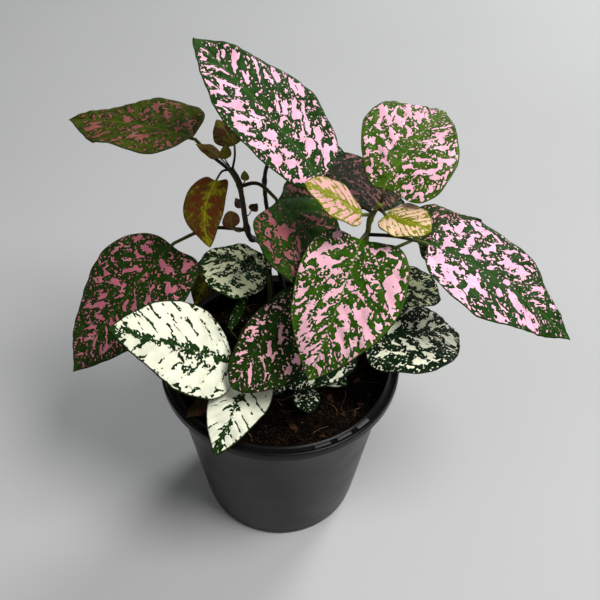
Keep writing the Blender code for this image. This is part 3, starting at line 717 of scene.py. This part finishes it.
def make_leaf(name, number, look, stalk, base, tip, width, changes=None, **shape):
    """One leaf: two sheets with veins and quilting, and a stalk that becomes the midrib."""
    blade = Blade(base, tip, width, **shape)
    rows, columns, sides = leaf_pitch(width)
    seed = SEED_STEP * number + SEED_START
    size = min(1.0, width / FULL_WIDTH)

    spread = np.linspace(0.0, 1.0, rows + 1)
    share_rows = 0.25 * spread + 0.75 * 0.5 * (1.0 - np.cos(pi * spread))
    across = np.linspace(-1.0, 1.0, 2 * columns + 1)
    across = np.sign(across) * np.abs(across) ** 0.9
    centre, out, share, half = blade.grid(share_rows, across)
    reach = np.abs(across)[None, :]
    y = share * blade.length
    where = np.stack([out, y], axis=-1)

    # the margin ripples gently in the plane of the blade
    ripple = wavy(where, seed + 3.0, 7.0 * size + 3.0) * 0.4 * size * reach ** 6
    out = out + np.sign(across)[None, :] * ripple * np.clip(half / 4.0, 0.0, 1.0)
    middle = centre + blade.side * out[..., None]
    normal = unit(np.cross(np.gradient(middle, axis=1), np.gradient(middle, axis=0)))
    normal[:2] = normal[2]
    normal[-2:] = normal[-3]

    # quilting between the side veins, a soft ripple, and grooves on the upper face
    along = vein_start(out, y, blade.length, width)
    phase = along / (VEIN_SPACING * blade.length)
    from_vein = np.abs((phase + 0.5) % 1.0 - 0.5) * VEIN_SPACING * blade.length
    inside = np.clip(4.0 * reach * (1.15 - reach), 0.0, 1.0) * np.clip(half / 6.0, 0.0, 1.0)
    quilt = (1.0 - np.exp(-(from_vein / 2.2) ** 2)) * inside
    lift = size * (0.55 * quilt + 0.8 * wavy(where, seed, 17.0) * reach ** 1.5
                   + 0.9 * np.sin(FULL_TURN * 2.2 * share + seed) * reach ** 3
                   + 0.35 * wavy(where, seed + 9.0, 6.0) * inside)
    middle = middle + normal * lift[..., None]
    groove = size * (0.32 * np.exp(-(out / 0.8) ** 2) * np.clip(half / 3.0, 0.0, 1.0)
                     + 0.22 * np.exp(-(from_vein / 0.6) ** 2) * inside)
    thick = np.where(reach >= 1.0, 0.5, 1.0) * LEAF_HALF * np.ones_like(out)
    top = middle + normal * (thick - groove)[..., None]
    low = middle - normal * (thick + 0.6 * groove)[..., None]
    faces, indices = sheet_faces(rows, 2 * columns)

    # the stalk runs on under the blade as its midrib
    radius = (0.85 if width > LARGE_LEAF else 0.5) * (0.6 if width < SMALL_LEAF else 1.0)
    run = smooth_path([*stalk, base], 24)
    keep = np.linspace(2, rows - 3, 26).astype(int)
    fade = np.linspace(1.0, 0.28, len(keep))
    drop = (0.15 + 0.3 * size + 0.75 * radius * fade) * np.clip(half[keep, columns], 0.3, 1.0)
    rib = middle[keep, columns] - normal[keep, columns] * drop[:, None]
    path = np.vstack([run[:-1], rib])
    radii = radius * np.concatenate([np.linspace(1.15, 1.0, len(run) - 1), fade])
    rings = tube(path, radii, sides, blade.right)
    stalk_faces = tube_faces(len(path), sides, 2 * out.size)
    faces += stalk_faces
    indices += [2] * len(stalk_faces)

    # what the shaders read: the place among the veins, and the place in the blade
    splash = np.stack([0.68 * along, 1.3 * np.abs(out) + 0.7 * along, np.full_like(out, seed)],
                      axis=-1).reshape(-1, 3)
    margin = np.clip((1.0 - reach) * half, 0.0, None) / sqrt(size)
    ends = blade.length * np.minimum(share_rows, 1 - share_rows)[:, None]
    margin = np.minimum(margin, 0.5 + 0.8 * ends)
    info = np.stack([margin, out, phase], axis=-1).reshape(-1, 3)
    tail = np.zeros((len(path) * sides, 3))
    tail[:, 0] = np.repeat(np.linspace(0.0, 1.0, len(path)), sides)

    vertices = np.vstack([top.reshape(-1, 3), low.reshape(-1, 3), rings.reshape(-1, 3)])
    materials = leaf_materials(name, look, changes)
    made = mesh_piece(name + "_fine", vertices, faces, materials, indices, {
        "splash": np.vstack([splash, splash, tail]),
        "blade": np.vstack([info, info, np.zeros_like(tail)])})
    face_outward(made)
    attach(made, "root")
    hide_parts(name)


# ---- stems
def make_stem(name, path, radii):
    """A lumpy tapered stem with a swollen ring at each joint."""
    count, sides = STEM_PITCH * (len(path) - 1) + 1, STEM_PITCH
    places = smooth_path(path, count)
    gone = np.concatenate([[0.0], np.cumsum(np.linalg.norm(np.diff(places, axis=0), axis=1))])
    share = gone / gone[-1]
    thick = radii[0] + (radii[1] - radii[0]) * share
    for joint in gone[STEM_PITCH::STEM_PITCH]:
        thick = thick + STEM_RING * np.exp(-((gone - joint) / RING_WIDTH) ** 2)
    thick[-1] *= STEM_END
    rings = tube(places, thick, sides, np.array([1.0, 0.0, 0.0]))
    lumps = np.array([noise.noise(Vector(p) * 0.45) for p in rings.reshape(-1, 3).tolist()])
    outward = unit(rings - places[:, None, :])
    rings = rings + outward * (STEM_LUMPS * lumps.reshape(count, sides, 1))
    data = np.zeros((count * sides, 3))
    data[:, 0] = np.repeat(share, sides)
    data[:, 1] = float(name == FRESH_STEM)
    made = mesh_piece(name + "_fine", rings.reshape(-1, 3), tube_faces(count, sides),
                      [STEM], None, {"splash": data})
    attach(made, "root")
    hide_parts(name)


# ---- pot
def wall_radius(height):
    """Outer radius of the tapered wall."""
    top = RIM_RADIUS - COLLAR_WIDTH + WALL
    return BASE_RADIUS + (top - BASE_RADIUS) * height / POT_HEIGHT


def rounded(profile, radius, steps=4):
    """Round the inner corners of a profile with small arcs."""
    points = [np.array(p, float) for p in profile]
    result = [points[0]]
    for before, corner, after in zip(points, points[1:], points[2:]):
        first, second = before - corner, after - corner
        cut = min(radius, 0.45 * np.linalg.norm(first), 0.45 * np.linalg.norm(second))
        a, b = corner + unit(first) * cut, corner + unit(second) * cut
        for t in np.linspace(0.0, 1.0, steps):
            result.append((1 - t) ** 2 * a + 2 * t * (1 - t) * corner + t ** 2 * b)
    result.append(points[-1])
    return result


def revolve(name, profile, segments, material):
    """A closed body turned about Z; the profile starts and ends on the axis."""
    angle = angles(segments)
    rings = [np.stack([r * np.cos(angle), r * np.sin(angle), np.full(segments, z)], axis=-1)
             for r, z in profile[1:-1]]
    vertices = [(0.0, 0.0, profile[0][1]), *np.concatenate(rings).tolist(),
                (0.0, 0.0, profile[-1][1])]
    return mesh_piece(name, vertices, turned_faces(len(rings), segments), [material])


def carve(target, built):
    """Cut a bmesh out of an object, and keep the result as its mesh."""
    cutter = bmesh_piece("cutter", built)
    boolean = target.modifiers.new("carve", "BOOLEAN")
    boolean.operation = "DIFFERENCE"
    boolean.solver = "EXACT"
    boolean.object = cutter
    shown = bpy.context.evaluated_depsgraph_get()
    carved = bpy.data.meshes.new_from_object(target.evaluated_get(shown))
    target.modifiers.clear()
    target.data = carved
    bpy.data.objects.remove(cutter)


def drain_holes():
    built = bmesh.new()
    for number in range(DRAIN_COUNT):
        angle = FULL_TURN * (number + 0.5) / DRAIN_COUNT
        centre = Vector((cos(angle), sin(angle), 0.0)) * DRAIN_CIRCLE * MM
        bmesh.ops.create_cone(
            built, cap_ends=True, segments=DRAIN_SEGMENTS, depth=6 * WALL * MM,
            radius1=DRAIN_RADIUS * MM, radius2=DRAIN_RADIUS * MM,
            matrix=Matrix.Translation(centre))
    return built


def label_slots(radius):
    built = bmesh.new()
    for degrees in SLOT_ANGLES:
        turn = Matrix.Rotation(radians(degrees), 4, "Z")
        size = Matrix.Diagonal((SLOT_RADIAL * MM, radius * radians(SLOT_SPAN) * MM,
                                SLOT_DEPTH * MM, 1.0))
        place = Matrix.Translation((radius * MM, 0.0, POT_HEIGHT * MM))
        bmesh.ops.create_cube(built, size=1.0, matrix=turn @ place @ size)
    return built


def make_pot():
    rim, top = RIM_RADIUS, POT_HEIGHT
    inner_top = wall_radius(top) - WALL
    skirt_inner, flange_under = rim - WALL, top - WALL
    skirt_foot, dish = top - COLLAR_DROP, top - DISH
    shoulder, step = FOOT_TOP
    foot_edge, foot_inside, foot_slope = (BASE_RADIUS - inset for inset in FOOT_RADII)
    profile = rounded([
        # inside, up to the rim
        (0.0, WALL),
        (wall_radius(WALL) - WALL, WALL),
        (wall_radius(WALL_MIDDLE) - WALL, WALL_MIDDLE),
        (inner_top, top - LIP),
        # over the dished collar
        (inner_top + EDGE, top),
        (inner_top + RIDGE, top),
        (inner_top + RIDGE + EDGE, dish),
        (rim - RIDGE - CHAMFER, dish),
        (rim - RIDGE, top),
        (rim - EDGE, top),
        # round the skirt
        (rim, top - EDGE),
        (rim, skirt_foot + EDGE),
        (rim - CHAMFER, skirt_foot),
        (skirt_inner, skirt_foot),
        (skirt_inner, flange_under),
        # down to the foot and under it
        (wall_radius(flange_under), flange_under),
        (wall_radius(WALL_MIDDLE), WALL_MIDDLE),
        (wall_radius(shoulder), shoulder),
        (wall_radius(step) - FOOT_INSET, step),
        (wall_radius(1.0) - FOOT_INSET, 1.0),
        (foot_edge, 0.0),
        (foot_inside, 0.0),
        (foot_slope, FOOT_RISE),
        (0.0, FOOT_RISE),
    ], CORNER)
    pot = revolve("pot_fine", profile, POT_SEGMENTS, pot_material())
    face_outward(pot)
    carve(pot, drain_holes())
    carve(pot, label_slots((skirt_inner + wall_radius(flange_under)) / 2.0))
    pot.data.shade_smooth()
    pot.data.set_sharp_from_angle(angle=radians(SHARP_ANGLE))
    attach(pot, "root")
    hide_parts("pot")


# ---- soil
SOIL_RADIUS = wall_radius(SOIL_EDGE) - WALL  # inside of the wall there


def soil_height(x, y):
    """Height of the soil at a place: a low crown with clods, lumps and grains."""
    far = hypot(x, y) / wall_radius(SOIL_EDGE)
    level = SOIL_CROWN - (SOIL_CROWN - SOIL_EDGE) * far ** 2
    clods = 1.5 * noise.noise(Vector((x / 13.0, y / 13.0, 4.1)))
    lumps = 1.0 - 2.0 * abs(noise.noise(Vector((x / 5.0, y / 5.0, 8.3))))
    grains = noise.noise(Vector((x / 1.9, y / 1.9, 1.2)))
    return level + clods + 0.9 * lumps + 0.55 * grains


def make_soil():
    edge = SOIL_RADIUS - SOIL_GAP
    turns = angles(SOIL_SEGMENTS).tolist()
    vertices = [(0.0, 0.0, soil_height(0.0, 0.0))]
    for ring in range(1, SOIL_RINGS + 1):
        radius = edge * ring / SOIL_RINGS
        for turn in turns:
            x, y = radius * cos(turn), radius * sin(turn)
            vertices.append((x, y, soil_height(x, y)))
    inset, rise = SOIL_FOOT
    foot = wall_radius(WALL) - WALL - inset
    vertices += [(foot * cos(turn), foot * sin(turn), WALL + rise) for turn in turns]
    vertices.append((0.0, 0.0, WALL + rise))
    bed = mesh_piece("soil_bed", vertices, turned_faces(SOIL_RINGS + 1, SOIL_SEGMENTS),
                     [soil_material("potting_soil", (0.012, 0.008, 0.005), (0.10, 0.07, 0.045))])
    face_outward(bed)
    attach(bed, "root")
    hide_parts("soil")


def scatter(name, count, make, material, draw):
    """One mesh of many small lumps laid on the soil."""
    built = bmesh.new()
    for _ in range(count):
        make(built, draw)
    made = bmesh_piece(name, built, material)
    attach(made, "root")


def soil_spot(draw, reach):
    """A random place on the soil, within a share of its radius."""
    radius = SOIL_RADIUS * reach * sqrt(draw.random())
    turn = draw.uniform(0.0, FULL_TURN)
    return radius * cos(turn), radius * sin(turn)


def lump(built, draw, size, sink, rough=0.28):
    """A jittered icosphere of the given size on the soil."""
    x, y = soil_spot(draw, SOIL_REACH - max(size) / LUMP_MARGIN)
    spin = Matrix.Rotation(draw.uniform(0, FULL_TURN), 4, "Z")
    spin = spin @ Matrix.Rotation(draw.uniform(-LUMP_TILT, LUMP_TILT), 4, "X")
    spin = spin @ Matrix.Rotation(draw.uniform(-LUMP_TILT, LUMP_TILT), 4, "Y")
    made = bmesh.ops.create_icosphere(built, subdivisions=1, radius=0.5)["verts"]
    place = Vector((x, y, soil_height(x, y) + size[2] * sink))
    for vertex in made:
        jitter = 1.0 + draw.uniform(-rough, rough)
        local = Vector(vertex.co[k] * size[k] * jitter for k in range(3))
        vertex.co = (spin @ local + place) * MM


def crumb(built, draw):
    size = 0.7 + 2.3 * draw.random() ** 3
    shape = [size * draw.uniform(0.7, 1.3) for _ in range(3)]
    lump(built, draw, shape, 0.25)


def bark(built, draw):
    length = draw.uniform(3.5, 8.5)
    shape = (length, length * draw.uniform(0.35, 0.6), draw.uniform(1.0, 2.0))
    lump(built, draw, shape, 0.35, 0.2)


def fleck(built, draw):
    size = draw.uniform(0.6, 1.3)
    lump(built, draw, (size, size, size), 0.4)


def fibre_path(draw, arched):
    """A root that wanders over the soil, and may arch up from it."""
    limit = SOIL_RADIUS - FIBRE_GAP
    x, y = soil_spot(draw, FIBRE_REACH)
    heading = draw.uniform(0.0, FULL_TURN)
    curl = draw.uniform(-0.18, 0.18)
    steps = draw.randint(8, 22)
    path = []
    for step in range(steps):
        heading += curl + draw.uniform(-0.22, 0.22)
        x, y = x + FIBRE_STEP * cos(heading), y + FIBRE_STEP * sin(heading)
        if hypot(x, y) > limit:
            shrink = limit / hypot(x, y)
            x, y = x * shrink, y * shrink
        lift = 0.35 + 0.9 * sin(pi * step / (steps - 1)) * arched
        path.append((x, y, soil_height(x, y) + lift))
    return smooth_path(path, 3 * steps)


def make_fibres(count, draw):
    """Fine roots over the soil; one in three arches up from it."""
    vertices, faces = [], []
    for number in range(count):
        path = fibre_path(draw, number % 3 == 0)
        thick = draw.uniform(0.11, 0.24) * np.sin(np.linspace(0.5, 2.6, len(path)))
        rings = tube(path, thick, FIBRE_SIDES, np.array([0.3, 0.2, 1.0]))
        faces += tube_faces(len(path), FIBRE_SIDES, len(vertices))
        vertices += rings.reshape(-1, 3).tolist()
    made = mesh_piece("root_fibres", vertices, faces, [
        soil_material("root", (0.30, 0.21, 0.13), (0.62, 0.49, 0.33), (0.6, 0.6, 0.6))])
    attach(made, "root")


# ---- the whole object
STALK = stalk_material()
STEM = stem_material()
make_pot()
make_soil()
DRAW = random.Random(SOIL_SEED)
scatter("soil_crumbs", CRUMB_COUNT, crumb,
        soil_material("crumb", (0.014, 0.010, 0.006), (0.27, 0.21, 0.145)), DRAW)
scatter("bark_chips", BARK_COUNT, bark,
        soil_material("bark", (0.15, 0.095, 0.06), (0.38, 0.25, 0.16), (0.4, 2.0, 1.0)), DRAW)
scatter("pale_flecks", FLECK_COUNT, fleck,
        soil_material("fleck", (0.44, 0.38, 0.28), (0.66, 0.61, 0.50)), DRAW)
make_fibres(FIBRE_COUNT, DRAW)
for title, stem in STEMS.items():
    make_stem(title, **stem)
for order, (title, leaf) in enumerate(LEAVES.items()):
    make_leaf(title, order, **leaf)


# ---- floor, light and camera
FLOOR_SIZE = 6.0  # half the floor's side, in metres like all that follows
SKY_COLOUR, SKY_STRENGTH = (0.80, 0.81, 0.83, 1.0), 0.18
CAMERA_PLACE = (0.010, -0.289, 0.439)
CAMERA_TILT = 44.7  # degrees below the horizon
CAMERA_ROLL = 1.4  # degrees
CAMERA_LENS, CAMERA_SENSOR = 48.0, 36.0  # millimetres


def make_floor():
    g = Graph("floor")
    tone = g.noise(g.object_place(), (0.004, 0.004, 0.004))
    colour = g.mix(tone, linear((0.66, 0.665, 0.665)), linear((0.69, 0.695, 0.695)))
    built = bmesh.new()
    bmesh.ops.create_grid(built, x_segments=1, y_segments=1, size=FLOOR_SIZE)
    floor = bmesh_piece("floor", built, g.finish(colour, 0.9, 0.1))


def make_light(name, place, target, size, watts, colour=(1.0, 1.0, 1.0)):
    lamp = bpy.data.lights.new(name, "AREA")
    lamp.shape = "DISK"
    lamp.size = size
    lamp.energy = watts
    lamp.color = colour
    made = link(name, lamp)
    made.location = place
    aim = Vector(target) - Vector(place)
    made.rotation_euler = aim.to_track_quat("-Z", "Y").to_euler()


def make_world():
    world = bpy.data.worlds.new("room")
    world.use_nodes = True
    sky = world.node_tree.nodes["Background"]
    sky.inputs["Color"].default_value = SKY_COLOUR
    sky.inputs["Strength"].default_value = SKY_STRENGTH
    bpy.context.scene.world = world


def make_camera():
    tilt, roll = radians(CAMERA_TILT), radians(CAMERA_ROLL)
    ahead = Vector((0.0, cos(tilt), -sin(tilt)))
    level_right = Vector((1.0, 0.0, 0.0))
    level_up = Vector((0.0, sin(tilt), cos(tilt)))
    right = level_right * cos(roll) + level_up * sin(roll)
    up = level_up * cos(roll) - level_right * sin(roll)
    camera = bpy.data.cameras.new("camera")
    camera.sensor_width = CAMERA_SENSOR
    camera.lens = CAMERA_LENS
    camera.clip_start = 0.01
    made = link("camera", camera)
    turn = Matrix((right, up, -ahead)).transposed().to_4x4()
    made.matrix_world = Matrix.Translation(CAMERA_PLACE) @ turn
    bpy.context.scene.camera = made


make_floor()
make_world()
make_light("key", (0.50, -0.28, 1.20), (0.02, 0.0, 0.14), 0.6, 17.0, (1.0, 0.99, 0.97))
make_light("fill", (-0.7, -0.6, 1.0), (0.0, 0.0, 0.15), 0.8, 1.6)
make_light("backdrop", (1.1, 1.5, 1.2), (0.7, 1.0, 0.0), 0.8, 38.0)
make_camera()
bpy.context.scene.view_settings.view_transform = "Standard"
